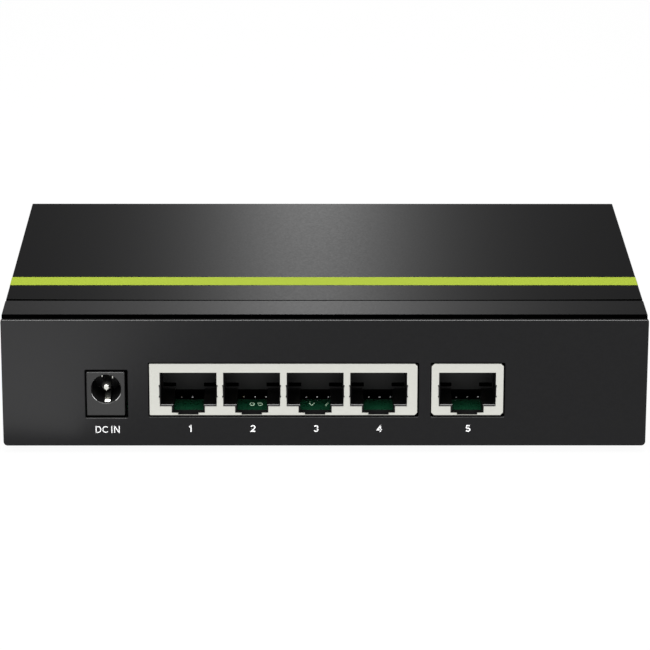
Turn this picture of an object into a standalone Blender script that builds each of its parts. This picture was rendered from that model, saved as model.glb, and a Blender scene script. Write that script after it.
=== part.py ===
"""A five-port desktop network switch in a painted steel case.

Frame: +Z up, +X along the port row, -Y out of the port face. The origin is under the middle of
the case, on the surface that the rubber feet stand on. All lengths are in metres.
"""

import math

import bmesh
import bpy
from mathutils import Matrix

MM = 0.001
GAP = 0.3 * MM  # clearance kept between pieces that touch on the real object

# Case
CASE_W = 142.0 * MM
CASE_D = 94.0 * MM
FACE_H = 29.3 * MM
FOOT_H = 1.6 * MM
SHIELD_PROUD = 0.25 * MM  # how far the port shields stand out of the port face
EDGE_R = 0.5 * MM
PLATE_T = 1.2 * MM
PLATE_FOOT_R = 0.9 * MM  # the plate's lower corners
PLATE_HEAD_R = 0.55 * MM  # the plate's upper corners
CORNER_STEPS = 5
BAND_FROM = 3.6 * MM
BAND_TO = 14.2 * MM
SEAM = 0.9 * MM
PLATE_DROP = 0.2 * MM  # the plate is this much lower than the band
COVER_STEP = 0.05 * MM  # the cover is this much smaller than the band, at the top and sides
SHEET_T = 1.0 * MM
GROOVE_DEPTH = 1.6 * MM
SKIRT_T = 0.8 * MM
SKIRT_TO = 12.5 * MM
FLANGE_H = 8.0 * MM
FLANGE_FROM = 16.0 * MM
LIP_H = 4.6 * MM
REAR_LIP_INSET = 4.0 * MM
BEZEL_T = 2.2 * MM
BEZEL_RECESS = 0.8 * MM
BEZEL_R = 0.4 * MM
LABEL_DEPTH = 0.4 * MM  # of the shallow recess around the lamp windows
LABEL_SIDE = 8.0 * MM
LABEL_BELOW = 3.2 * MM
LABEL_ABOVE = 7.0 * MM

# Side vents
VENT_COUNT = 10
VENT_PITCH = 4.6 * MM
VENT_W = 1.8 * MM
VENT_H = 9.0 * MM
VENT_Z = 17.0 * MM
VENT_MIDDLE_Y = 8.5 * MM

# Board
BOARD_TOP = 6.9 * MM
BOARD_T = 1.6 * MM
BOARD_FROM = 4.2 * MM
BOARD_W = 128.0 * MM
BOARD_FRONT_Y = 41.0 * MM
BOARD_HOLES = ((-60 * MM, -34 * MM), (60 * MM, -34 * MM), (-60 * MM, 34 * MM), (60 * MM, 34 * MM))
BOARD_HOLE_R = 1.6 * MM

# Ports
PORT_PITCH = 13.97 * MM
GANG_PORTS = 4
GANG_FIRST_X = -30.0 * MM
SINGLE_X = 31.5 * MM
GANG_MARGIN = 8.57 * MM  # from an end port's middle to the shield's outer side
SINGLE_MARGIN = 7.94 * MM
SHIELD_Z = (7.15 * MM, 19.0 * MM)
SHIELD_DEEP = 21.0 * MM
SHIELD_T = 0.3 * MM
SHIELD_CLEAR = 0.2 * MM  # between a shield and its cut-out
PORT_W = 12.5 * MM
PORT_Z = (9.3 * MM, 17.05 * MM)
LATCH_W = 7.2 * MM
LATCH_Z = 7.5 * MM
TONGUE_W = 4.6 * MM
TONGUE_Z = 7.35 * MM
CAVITY_DEEP = 11.3 * MM
CAVITY_W = 12.1 * MM
CHANNEL_W = 6.9 * MM
ROOF_W = 8.6 * MM
ROOF_Z = 17.6 * MM
ROOF_FROM = 1.5 * MM

# Spring contacts of a port
WIRES = 8
WIRE_PITCH = 1.016 * MM
WIRE_W = 0.45 * MM
WIRE_T = 0.35 * MM
WIRE_L = 9.0 * MM
WIRE_TILT = math.radians(21)
WIRE_ROOT_DEEP = 2.2 * MM
WIRE_ROOT_Z = 17.1 * MM
ROOT_BAR = 0.6 * MM
ROOT_BAR_END = 0.15 * MM  # how far the bar runs past its last wire

# Power inlet
DC_X = -48.13 * MM
DC_CUTOUT_X = (-52.75 * MM, -43.35 * MM)
DC_CUTOUT_Z = (6.45 * MM, 17.6 * MM)
DC_BODY_W = 8.64 * MM
DC_BODY_DEEP = (0.25 * MM, 14.0 * MM)
DC_BORE_R = 3.3 * MM
DC_BORE_Z = 13.1 * MM
DC_BORE_DEEP = 9.7 * MM
DC_PIN_R = 1.0 * MM
DC_PIN_DEEP = (2.5 * MM, 15.5 * MM)
DC_SLOT_W = 2.8 * MM
DC_SLOT_Z = (8.1 * MM, 10.4 * MM)
DC_LEAF_W = 2.1 * MM
DC_LEAF_T = 0.3 * MM
DC_HINGE = (12.5 * MM, 9.1 * MM)  # depth and height of the leaf's root
DC_LEAF_CREST = 1.75 * MM  # how far the leaf rises above its root
DC_LEAF_TIP = 0.75 * MM
DC_LEAF_FRONT = 1.9 * MM
DC_LEAF_TAIL = 1.2 * MM
DC_SLOT_FROM = 1.3 * MM

# Parts on the board: width, length and height
TRANSFORMER = (12.6 * MM, 12.0 * MM, 5.8 * MM)
TRANSFORMER_DEEP = 30.0 * MM
CHIP = (14.0 * MM, 14.0 * MM, 1.3 * MM)
CHIP_XY = (-6.0 * MM, 10.0 * MM)
SINK_W = 19.0 * MM
SINK_BASE = 2.0 * MM
FIN_COUNT = 6
FIN_T = 1.2 * MM
FIN_H = 6.0 * MM
CAPACITOR_R = 4.0 * MM
CAPACITOR_H = 11.0 * MM
CAPACITOR_XY = ((-52 * MM, -6 * MM), (-52 * MM, 6 * MM), (-38 * MM, 20 * MM))

# Lamps
LED = (3.0 * MM, 1.6 * MM, 1.2 * MM)
LED_X = tuple(x * MM for x in (50, 32, 22, 12, 2, -8))
LED_Y = 39.0 * MM
PIPE_Z = (8.9 * MM, 10.7 * MM)
PIPE_W = 2.2 * MM
PIPE_BACK_Y = 37.9 * MM
PIPE_BAR = 1.6 * MM
PIPE_RECESS = 0.3 * MM
WINDOW_CLEAR = 0.25 * MM

# Fasteners and feet
ROUND_STEPS = 20
STANDOFF_R = 2.9 * MM
SHANK_R = 1.0 * MM
BORE_R = 1.3 * MM
HEAD_R = 2.6 * MM
HEAD_H = 1.5 * MM
SHANK_END = 2.0 * MM
SLOT_REACH = (1.3 * MM, 0.3 * MM, 0.7 * MM)  # half length, half width and depth of a cross slot
CASE_SCREW_YZ = tuple((y * MM, 5.0 * MM) for y in (-26, 36))
CASE_SHANK_R = 1.2 * MM
CASE_SCREW_L = 5.0 * MM
COUNTERSINK_R = 2.6 * MM
FOOT_R = 6.0 * MM
FOOT_X = 58.0 * MM
FOOT_Y = 35.0 * MM
KEYHOLE_X = 40.0 * MM
KEYHOLE_Y = 4.0 * MM
KEYHOLE_R = 3.6 * MM
KEYHOLE_SLOT_R = 1.9 * MM
KEYHOLE_SLOT_L = 7.0 * MM

BASE = FOOT_H
FACE_Y = -CASE_D / 2 + SHIELD_PROUD
TOP = BASE + FACE_H
FAR = 1.0 * MM  # how far a cutter runs past the surface it opens


def up(height):
    """Height in the frame of a point this far above the case's underside."""
    return BASE + height


def deep(distance):
    """Y of a point this far in from the port face."""
    return FACE_Y + distance


def clear_scene():
    for obj in list(bpy.data.objects):
        bpy.data.objects.remove(obj, do_unlink=True)


clear_scene()


def material(name, colour, roughness, metallic=0.0):
    made = bpy.data.materials.new(name)
    made.use_nodes = True
    shader = made.node_tree.nodes["Principled BSDF"]
    shader.inputs["Base Color"].default_value = (*colour, 1.0)
    shader.inputs["Roughness"].default_value = roughness
    shader.inputs["Metallic"].default_value = metallic
    return made


BLACK_PAINT = material("black_paint", (0.012, 0.012, 0.013), 0.4)
BLACK_BEZEL = material("black_bezel", (0.015, 0.015, 0.016), 0.45)
ZINC = material("zinc_steel", (0.55, 0.56, 0.57), 0.4, 1.0)
NICKEL = material("nickel_shield", (0.78, 0.77, 0.73), 0.28, 1.0)
JACK_PLASTIC = material("jack_plastic", (0.01, 0.01, 0.01), 0.5)
GOLD = material("gold_contact", (0.83, 0.62, 0.25), 0.25, 1.0)
BOARD_GREEN = material("board_green", (0.01, 0.1, 0.04), 0.35)
CHIP_BLACK = material("chip_black", (0.02, 0.02, 0.02), 0.6)
ALUMINIUM = material("heatsink_aluminium", (0.6, 0.6, 0.62), 0.45, 1.0)
CAN_SILVER = material("can_silver", (0.7, 0.7, 0.7), 0.3, 1.0)
CLEAR_PIPE = material("clear_pipe", (0.75, 0.85, 0.75), 0.1)
LED_WHITE = material("led_body", (0.8, 0.8, 0.75), 0.4)
SCREW_BLACK = material("black_screw", (0.03, 0.03, 0.03), 0.35, 1.0)
RUBBER = material("black_rubber", (0.02, 0.02, 0.02), 0.85)


def mesh_object(name, bm, finish=None, location=(0, 0, 0)):
    bmesh.ops.recalc_face_normals(bm, faces=bm.faces)
    mesh = bpy.data.meshes.new(name)
    bm.to_mesh(mesh)
    bm.free()
    obj = bpy.data.objects.new(name, mesh)
    obj.location = location
    bpy.context.scene.collection.objects.link(obj)
    if finish:
        mesh.materials.append(finish)
    return obj


def add_box(bm, low, high):
    size = [b - a for a, b in zip(low, high)]
    middle = [(a + b) / 2 for a, b in zip(low, high)]
    matrix = Matrix.Translation(middle) @ Matrix.Diagonal((*size, 1))
    bmesh.ops.create_cube(bm, size=1, matrix=matrix)


def block(name, low, high, finish=None):
    bm = bmesh.new()
    add_box(bm, low, high)
    return mesh_object(name, bm, finish)


def round_edges(obj, width, segments=3):
    bevel = obj.modifiers.new("round_edges", "BEVEL")
    bevel.width = width
    bevel.segments = segments
    obj.data.shade_smooth()
    obj.data.set_sharp_from_angle(angle=math.radians(35))
    return obj


def prism(name, outline, low, high, axis, finish=None):
    """An outline extruded from low to high along X, Y or Z. Its points are the other two, in order."""
    place = {
        "X": lambda a, b, c: (c, a, b),
        "Y": lambda a, b, c: (a, c, b),
        "Z": lambda a, b, c: (a, b, c),
    }[axis]
    bm = bmesh.new()
    ends = [[bm.verts.new(place(a, b, c)) for a, b in outline] for c in (low, high)]
    for end in ends:
        bm.faces.new(end)
    for i in range(len(outline)):
        j = (i + 1) % len(outline)
        bm.faces.new((ends[0][i], ends[0][j], ends[1][j], ends[1][i]))
    return mesh_object(name, bm, finish)


def turned(name, profile, axis, centre, finish=None, steps=ROUND_STEPS):
    """A turned piece. profile lists (radius, distance along the axis); the ends close on the axis."""
    bm = bmesh.new()
    rings = []
    for radius, along in profile:
        ring = []
        for i in range(steps):
            angle = 2 * math.pi * i / steps
            ring.append(bm.verts.new((radius * math.cos(angle), radius * math.sin(angle), along)))
        rings.append(ring)
    for one, two in zip(rings, rings[1:]):
        for i in range(steps):
            j = (i + 1) % steps
            bm.faces.new((one[i], one[j], two[j], two[i]))
    bm.faces.new(rings[0])
    bm.faces.new(rings[-1])
    turn = {
        "X": Matrix.Rotation(math.pi / 2, 4, "Y"),
        "Y": Matrix.Rotation(-math.pi / 2, 4, "X"),
        "Z": Matrix.Identity(4),
    }[axis]
    bmesh.ops.transform(bm, matrix=turn, verts=bm.verts)
    obj = mesh_object(name, bm, finish, centre)
    obj.data.shade_smooth()
    obj.data.set_sharp_from_angle(angle=math.radians(40))
    return obj


def combine(target, tool, operation):
    boolean = target.modifiers.new(operation.lower(), "BOOLEAN")
    boolean.operation = operation
    boolean.object = tool
    tool.hide_render = True
    tool.display_type = "WIRE"
    return target


def cut(target, *tools):
    for tool in tools:
        combine(target, tool, "DIFFERENCE")
    return target


def cut_boxes(target, boxes):
    """Cuts boxes that don't meet each other, as one cutter."""
    bm = bmesh.new()
    for low, high in boxes:
        add_box(bm, low, high)
    return cut(target, mesh_object(target.name + "_box_cutter", bm))


def join(target, tool):
    return combine(target, tool, "UNION")


# Case


def port_centres():
    return [GANG_FIRST_X + i * PORT_PITCH for i in range(GANG_PORTS)] + [SINGLE_X]


def gang_sides():
    last = GANG_FIRST_X + (GANG_PORTS - 1) * PORT_PITCH
    return GANG_FIRST_X - GANG_MARGIN, last + GANG_MARGIN


def single_sides():
    return SINGLE_X - SINGLE_MARGIN, SINGLE_X + SINGLE_MARGIN


def plate_outline():
    """The port face's outline as (x, z): a rectangle with an arc at each corner."""
    half = CASE_W / 2
    top = TOP - PLATE_DROP
    corners = (
        (half - PLATE_FOOT_R, BASE + PLATE_FOOT_R, PLATE_FOOT_R, -90),
        (half - PLATE_HEAD_R, top - PLATE_HEAD_R, PLATE_HEAD_R, 0),
        (-half + PLATE_HEAD_R, top - PLATE_HEAD_R, PLATE_HEAD_R, 90),
        (-half + PLATE_FOOT_R, BASE + PLATE_FOOT_R, PLATE_FOOT_R, 180),
    )
    points = []
    for x, z, radius, start in corners:
        for step in range(CORNER_STEPS + 1):
            angle = math.radians(start + 90 * step / CORNER_STEPS)
            points.append((x + radius * math.cos(angle), z + radius * math.sin(angle)))
    return points


def rear_panel():
    """The port face: a plate whose skirt runs back inside the band and leaves a groove before it."""
    half = CASE_W / 2
    plate = prism("rear_panel", plate_outline(), deep(0), deep(PLATE_T), "Y", BLACK_PAINT)
    round_edges(plate, EDGE_R)
    side = half - GROOVE_DEPTH
    skirt = block(
        "rear_panel_skirt",
        (-side, deep(PLATE_T / 2), up(SHEET_T + GAP)),
        (side, deep(SKIRT_TO), TOP - GROOVE_DEPTH),
    )
    inside = side - SKIRT_T
    hollow = block(
        "rear_panel_hollow",
        (-inside, deep(PLATE_T), BASE - FAR),
        (inside, deep(SKIRT_TO) + FAR, TOP - GROOVE_DEPTH - SKIRT_T),
    )
    cutouts = [
        (
            (low - SHIELD_CLEAR, deep(-FAR), up(SHIELD_Z[0]) - SHIELD_CLEAR),
            (high + SHIELD_CLEAR, deep(PLATE_T) + FAR, up(SHIELD_Z[1]) + SHIELD_CLEAR),
        )
        for low, high in (gang_sides(), single_sides())
    ]
    cutouts.append(
        (
            (DC_CUTOUT_X[0], deep(-FAR), up(DC_CUTOUT_Z[0])),
            (DC_CUTOUT_X[1], deep(PLATE_T) + FAR, up(DC_CUTOUT_Z[1])),
        )
    )
    cut(join(plate, skirt), hollow)
    cut_boxes(plate, cutouts)


def arch(name, half, top, thickness, from_y, to_y):
    """An upside-down U of sheet, as wide as two halves, from the case's underside to top."""
    shell = block(name, (-half, from_y, BASE), (half, to_y, top), BLACK_PAINT)
    round_edges(shell, EDGE_R)
    inside = half - thickness
    hollow = block(
        name + "_hollow",
        (-inside, from_y - FAR, BASE - FAR),
        (inside, to_y + FAR, top - thickness),
    )
    return cut(shell, hollow)


def rear_band():
    arch("rear_band", CASE_W / 2, TOP, PLATE_T, deep(BAND_FROM), deep(BAND_TO))


def vent_boxes(side_x):
    first = VENT_MIDDLE_Y - VENT_PITCH * (VENT_COUNT - 1) / 2
    for i in range(VENT_COUNT):
        y = first + i * VENT_PITCH
        yield (
            (side_x - 2 * SHEET_T, y - VENT_W / 2, up(VENT_Z) - VENT_H / 2),
            (side_x + 2 * SHEET_T, y + VENT_W / 2, up(VENT_Z) + VENT_H / 2),
        )


def countersink(name, side, y, z):
    """A cone through the cover's side, wide at its outer face. side is -1 or 1."""
    face = CASE_W / 2 - COVER_STEP
    profile = [
        (CASE_SHANK_R + GAP, -3 * SHEET_T),
        (CASE_SHANK_R + GAP, -SHEET_T),
        (COUNTERSINK_R + GAP, 0),
        (COUNTERSINK_R + GAP, FAR),
    ]
    if side < 0:
        profile = [(radius, -along) for radius, along in reversed(profile)]
    return turned(name, profile, "X", (side * face, y, z))


def top_cover():
    half = CASE_W / 2 - COVER_STEP
    cover = arch("top_cover", half, TOP - COVER_STEP, SHEET_T, deep(BAND_TO + SEAM), CASE_D / 2)
    cut_boxes(cover, [box for side in (-half, half) for box in vent_boxes(side)])
    for i, (side, (y, height)) in enumerate(screw_places(), 1):
        cut(cover, countersink(f"countersink_{i}", side, y, up(height)))


def screw_places():
    return [(side, place) for side in (-1, 1) for place in CASE_SCREW_YZ]


def keyhole(x):
    """A round hole with a narrow slot towards the port face, for hanging on a screw head."""
    points = []
    open_angle = math.asin(KEYHOLE_SLOT_R / KEYHOLE_R)
    for i in range(17):
        angle = -math.pi / 2 + open_angle + i * (2 * math.pi - 2 * open_angle) / 16
        points.append((x + KEYHOLE_R * math.cos(angle), KEYHOLE_Y + KEYHOLE_R * math.sin(angle)))
    for i in range(7):
        angle = math.pi + i * math.pi / 6
        points.append(
            (
                x + KEYHOLE_SLOT_R * math.cos(angle),
                KEYHOLE_Y - KEYHOLE_SLOT_L + KEYHOLE_SLOT_R * math.sin(angle),
            )
        )
    return points


def base_pan():
    """The floor of the case, with side flanges for the cover's screws and a lip at each end."""
    half = CASE_W / 2 - COVER_STEP - SHEET_T - GAP
    front = CASE_D / 2 - BEZEL_RECESS - BEZEL_T - GAP
    back = deep(PLATE_T + GAP)
    lip = half - REAR_LIP_INSET
    pan = block("base_pan", (-half, back, BASE), (half, front, up(SHEET_T)), BLACK_PAINT)
    for name, low, high in (
        ("left_flange", (-half, deep(FLANGE_FROM), BASE), (SHEET_T - half, front, up(FLANGE_H))),
        ("right_flange", (half - SHEET_T, deep(FLANGE_FROM), BASE), (half, front, up(FLANGE_H))),
        ("front_lip", (-half, front - SHEET_T, BASE), (half, front, up(LIP_H))),
        ("rear_lip", (-lip, back, BASE), (lip, back + SHEET_T, up(LIP_H))),
    ):
        join(pan, block("base_pan_" + name, low, high))
    for i, side in enumerate((-1, 1), 1):
        hole = prism(f"keyhole_{i}", keyhole(side * KEYHOLE_X), BASE - FAR, up(2 * SHEET_T), "Z")
        cut(pan, hole)
    for i, (side, (y, height)) in enumerate(screw_places(), 1):
        radius = CASE_SHANK_R + GAP
        profile = [(radius, -2 * SHEET_T), (radius, 2 * SHEET_T)]
        centre = (side * (half - SHEET_T / 2), y, up(height))
        cut(pan, turned(f"flange_hole_{i}", profile, "X", centre))


def front_panel():
    """The lamp bezel at the far end, set back between the cover's sides."""
    half = CASE_W / 2 - COVER_STEP - SHEET_T - GAP
    front = CASE_D / 2 - BEZEL_RECESS
    top = TOP - COVER_STEP - SHEET_T - GAP
    panel = block("front_panel", (-half, front - BEZEL_T, BASE), (half, front, top), BLACK_BEZEL)
    round_edges(panel, BEZEL_R)
    recess = block(
        "front_panel_recess",
        (LED_X[-1] - LABEL_SIDE, front - LABEL_DEPTH, up(PIPE_Z[0]) - LABEL_BELOW),
        (LED_X[0] + LABEL_SIDE, front + FAR, up(PIPE_Z[1]) + LABEL_ABOVE),
    )
    cut(panel, recess)
    cut_boxes(
        panel,
        [
            (
                (x - PIPE_W / 2 - WINDOW_CLEAR, front - BEZEL_T - FAR, up(PIPE_Z[0]) - WINDOW_CLEAR),
                (x + PIPE_W / 2 + WINDOW_CLEAR, front + FAR, up(PIPE_Z[1]) + WINDOW_CLEAR),
            )
            for x in LED_X
        ],
    )


def feet():
    profile = [
        (FOOT_R - 1.0 * MM, 0),
        (FOOT_R - 0.3 * MM, 0.3 * MM),
        (FOOT_R, FOOT_H - GAP - 0.2 * MM),
        (FOOT_R, FOOT_H - GAP),
    ]
    corners = [(x, y) for x in (-FOOT_X, FOOT_X) for y in (-FOOT_Y, FOOT_Y)]
    for i, (x, y) in enumerate(corners, 1):
        turned(f"foot_{i}", profile, "Z", (x, y, 0), RUBBER)


# Ports


def port_outline(centre):
    """A port's mouth in the shield, as (x, height): a plug's outline with a stepped latch slot."""
    left = [
        (-PORT_W / 2, PORT_Z[1]),
        (-PORT_W / 2, PORT_Z[0]),
        (-LATCH_W / 2, PORT_Z[0]),
        (-LATCH_W / 2, LATCH_Z),
        (-TONGUE_W / 2, LATCH_Z),
        (-TONGUE_W / 2, TONGUE_Z),
    ]
    right = [(-x, z) for x, z in reversed(left)]
    return [(centre + x, up(z)) for x, z in left + right]


def shield(name, sides, centres):
    """A folded sheet cap over a jack housing, open below and behind."""
    low, high = sides
    front = deep(-SHIELD_PROUD)
    cap = block(
        name, (low, front, up(SHIELD_Z[0])), (high, deep(SHIELD_DEEP), up(SHIELD_Z[1])), NICKEL
    )
    round_edges(cap, 0.35 * MM)
    hollow = block(
        name + "_hollow",
        (low + SHIELD_T, front + SHIELD_T, up(SHIELD_Z[0]) - FAR),
        (high - SHIELD_T, deep(SHIELD_DEEP) + FAR, up(SHIELD_Z[1]) - SHIELD_T),
    )
    cut(cap, hollow)
    for i, centre in enumerate(centres, 1):
        outline = port_outline(centre)
        cut(cap, prism(f"{name}_mouth_{i}", outline, front - FAR, deep(FAR), "Y"))


def housing(name, sides, centres):
    """A moulded jack block with a plug cavity, a latch channel and a contact recess for each port."""
    low, high = (sides[0] + SHIELD_T + GAP, sides[1] - SHIELD_T - GAP)
    front = deep(-SHIELD_PROUD + SHIELD_T + GAP)
    body = block(
        name,
        (low, front, up(BOARD_TOP + GAP)),
        (high, deep(SHIELD_DEEP - 2 * GAP), up(SHIELD_Z[1] - SHIELD_T - GAP)),
        JACK_PLASTIC,
    )
    cut_boxes(
        body,
        [
            (
                (x - CAVITY_W / 2, front - FAR, up(PORT_Z[0])),
                (x + CAVITY_W / 2, deep(CAVITY_DEEP), up(PORT_Z[1])),
            )
            for x in centres
        ],
    )
    channel = [
        (
            (x - CHANNEL_W / 2, front - FAR, up(BOARD_TOP) - FAR),
            (x + CHANNEL_W / 2, deep(CAVITY_DEEP), up(PORT_Z[0]) + FAR),
        )
        for x in centres
    ]
    roof = [
        (
            (x - ROOF_W / 2, deep(ROOF_FROM), up(PORT_Z[1]) - FAR),
            (x + ROOF_W / 2, deep(CAVITY_DEEP), up(ROOF_Z)),
        )
        for x in centres
    ]
    cut_boxes(body, channel)
    cut_boxes(body, roof)


def comb_outline():
    """The contact set laid flat: a root bar along X with a wire running back from it at each place."""
    half = (WIRES - 1) * WIRE_PITCH / 2 + WIRE_W / 2 + ROOT_BAR_END
    edge = ROOT_BAR / 2
    points = [(-half, edge), (-half, -edge), (half, -edge), (half, edge)]
    for i in reversed(range(WIRES)):
        x = (i - (WIRES - 1) / 2) * WIRE_PITCH
        points += [
            (x + WIRE_W / 2, edge),
            (x + WIRE_W / 2, WIRE_L),
            (x - WIRE_W / 2, WIRE_L),
            (x - WIRE_W / 2, edge),
        ]
    return points


def contact_sets():
    """Each set's origin lies on the line that its wires bend about."""
    for i, x in enumerate(port_centres(), 1):
        name = f"contact_set_{i}"
        wires = prism(name, comb_outline(), -WIRE_T / 2, WIRE_T / 2, "Z", GOLD)
        wires.location = (x, deep(WIRE_ROOT_DEEP), up(WIRE_ROOT_Z))
        wires.rotation_euler = (-WIRE_TILT, 0, 0)


# Power inlet


def dc_jack_body():
    low, high = DC_X - DC_BODY_W / 2, DC_X + DC_BODY_W / 2
    front, end = DC_BODY_DEEP
    body = block(
        "dc_jack_body",
        (low, deep(front), up(BOARD_TOP + GAP)),
        (high, deep(end), up(DC_CUTOUT_Z[1] - 0.15 * MM)),
        JACK_PLASTIC,
    )
    round_edges(body, 0.25 * MM, 2)
    centre = (DC_X, deep(0), up(DC_BORE_Z))
    steps = 40
    bore = [(DC_BORE_R, -FAR), (DC_BORE_R, DC_BORE_DEEP)]
    pin_hole = [(DC_PIN_R + GAP, DC_BORE_DEEP / 2), (DC_PIN_R + GAP, end + FAR)]
    cut(body, turned("dc_bore", bore, "Y", centre, steps=steps))
    cut(body, turned("dc_pin_hole", pin_hole, "Y", centre))
    slot = block(
        "dc_leaf_slot",
        (DC_X - DC_SLOT_W / 2, deep(DC_SLOT_FROM), up(DC_SLOT_Z[0])),
        (DC_X + DC_SLOT_W / 2, deep(end) + FAR, up(DC_SLOT_Z[1])),
    )
    cut(body, slot)


def dc_jack_pin():
    tip, end = DC_PIN_DEEP
    profile = [
        (0.45 * DC_PIN_R, tip),
        (0.8 * DC_PIN_R, tip + 0.2 * MM),
        (DC_PIN_R, tip + 0.6 * MM),
        (DC_PIN_R, end),
    ]
    turned("dc_jack_pin", profile, "Y", (DC_X, deep(0), up(DC_BORE_Z)), NICKEL)


def dc_jack_spring():
    """The sleeve contact: a leaf that rises into the bore. Its origin lies on its root's bend."""
    root_deep, root_z = DC_HINGE
    reach = root_deep - DC_LEAF_FRONT
    upper = [
        (DC_LEAF_TAIL, 0),
        (0, 0),
        (-0.75 * reach, DC_LEAF_CREST),
        (-0.86 * reach, DC_LEAF_CREST),
        (-reach, DC_LEAF_TIP),
    ]
    lower = [(y, z - DC_LEAF_T) for y, z in reversed(upper)]
    half = DC_LEAF_W / 2
    leaf = prism("dc_jack_spring", upper + lower, -half, half, "X", NICKEL)
    leaf.location = (DC_X, deep(root_deep), up(root_z))


# Board and what it carries


def main_board():
    low_z, high_z = up(BOARD_TOP - BOARD_T), up(BOARD_TOP)
    half = BOARD_W / 2
    board = block(
        "main_board", (-half, deep(BOARD_FROM), low_z), (half, BOARD_FRONT_Y, high_z), BOARD_GREEN
    )
    for i, (x, y) in enumerate(BOARD_HOLES, 1):
        profile = [(BOARD_HOLE_R, low_z - FAR), (BOARD_HOLE_R, high_z + FAR)]
        cut(board, turned(f"board_hole_{i}", profile, "Z", (x, y, 0)))


def on_board(name, x, y, size, finish):
    """A box-shaped part of this size standing on the board, centred on (x, y)."""
    width, length, height = size
    foot = up(BOARD_TOP) + GAP
    return block(
        name,
        (x - width / 2, y - length / 2, foot),
        (x + width / 2, y + length / 2, foot + height),
        finish,
    )


def transformers():
    for i, x in enumerate(port_centres(), 1):
        part = on_board(f"transformer_{i}", x, deep(TRANSFORMER_DEEP), TRANSFORMER, CHIP_BLACK)
        round_edges(part, 0.3 * MM, 1)


def heatsink():
    """A finned block on the switch chip, drawn as one comb-shaped section."""
    x, y = CHIP_XY
    foot = up(BOARD_TOP) + GAP + CHIP[2] + GAP
    floor = foot + SINK_BASE
    pitch = (SINK_W - FIN_T) / (FIN_COUNT - 1)
    points = [(x + SINK_W / 2, foot), (x - SINK_W / 2, foot)]
    for i in range(FIN_COUNT):
        left = x - SINK_W / 2 + i * pitch
        fin = [(left, floor + FIN_H), (left + FIN_T, floor + FIN_H)]
        if i > 0:
            fin.insert(0, (left, floor))
        if i < FIN_COUNT - 1:
            fin.append((left + FIN_T, floor))
        points += fin
    prism("heatsink", points, y - SINK_W / 2, y + SINK_W / 2, "Y", ALUMINIUM)


def capacitors():
    radius, height = CAPACITOR_R, CAPACITOR_H
    foot = up(BOARD_TOP) + GAP
    profile = [
        (radius, 0),
        (radius, 0.8 * MM),
        (radius - 0.35 * MM, 1.2 * MM),
        (radius, 1.6 * MM),
        (radius, height - 0.5 * MM),
        (radius - 0.5 * MM, height),
    ]
    for i, (x, y) in enumerate(CAPACITOR_XY, 1):
        turned(f"capacitor_{i}", profile, "Z", (x, y, foot), CAN_SILVER)


def small_parts():
    on_board("switch_chip", *CHIP_XY, CHIP, CHIP_BLACK)
    places = (
        ("inductor_1", -38, 4, (10, 10, 4.5), CHIP_BLACK),
        ("inductor_2", 36, 12, (8, 8, 4.0), CHIP_BLACK),
        ("crystal", 12, 22, (11, 4.6, 3.5), CAN_SILVER),
        ("regulator_chip", -52, 20, (6.5, 5, 1.8), CHIP_BLACK),
        ("memory_chip", 20, 6, (5, 6, 1.6), CHIP_BLACK),
    )
    for name, x, y, size, finish in places:
        part = on_board(name, x * MM, y * MM, [side * MM for side in size], finish)
        round_edges(part, 0.4 * MM, 2)


def lamps():
    for i, x in enumerate(LED_X, 1):
        on_board(f"led_{i}", x, LED_Y, LED, LED_WHITE)


def light_pipe():
    """A comb of clear fingers, from above the lamps to the windows of the front panel."""
    front = CASE_D / 2 - BEZEL_RECESS - PIPE_RECESS
    back = PIPE_BACK_Y
    left, right = LED_X[-1] - PIPE_W / 2, LED_X[0] + PIPE_W / 2
    points = [(right, back), (left, back)]
    for i, x in enumerate(reversed(LED_X)):
        low, high = x - PIPE_W / 2, x + PIPE_W / 2
        if i > 0:
            points.append((low, back + PIPE_BAR))
        points += [(low, front), (high, front)]
        if i < len(LED_X) - 1:
            points.append((high, back + PIPE_BAR))
    prism("light_pipe", points, up(PIPE_Z[0]), up(PIPE_Z[1]), "Z", CLEAR_PIPE)


# Fasteners


def standoffs():
    low, high = up(SHEET_T + GAP), up(BOARD_TOP - BOARD_T - GAP)
    for i, (x, y) in enumerate(BOARD_HOLES, 1):
        profile = [(STANDOFF_R, low), (STANDOFF_R, high)]
        post = turned(f"standoff_{i}", profile, "Z", (x, y, 0), ZINC, steps=6)
        bore = [(BORE_R, low - FAR), (BORE_R, high + FAR)]
        cut(post, turned(f"standoff_bore_{i}", bore, "Z", (x, y, 0)))


def board_screws():
    seat = up(BOARD_TOP + GAP)
    profile = [
        (SHANK_R, up(SHANK_END)),
        (SHANK_R, seat),
        (HEAD_R, seat),
        (HEAD_R, seat + 0.7 * HEAD_H),
        (0.75 * HEAD_R, seat + HEAD_H),
    ]
    for i, (x, y) in enumerate(BOARD_HOLES, 1):
        screw = turned(f"board_screw_{i}", profile, "Z", (x, y, 0), ZINC)
        cross_slot(screw, (x, y, seat + HEAD_H), "Z")


def cross_slot(screw, centre, axis):
    """Two crossed slots in the head of a screw, around centre."""
    long, narrow, depth = SLOT_REACH
    for i, (a, b) in enumerate(((long, narrow), (narrow, long))):
        reach = (depth, a, b) if axis == "X" else (a, b, depth)
        low = [c - r for c, r in zip(centre, reach)]
        high = [c + r for c, r in zip(centre, reach)]
        cut(screw, block(f"{screw.name}_slot_{i}", low, high))


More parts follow.
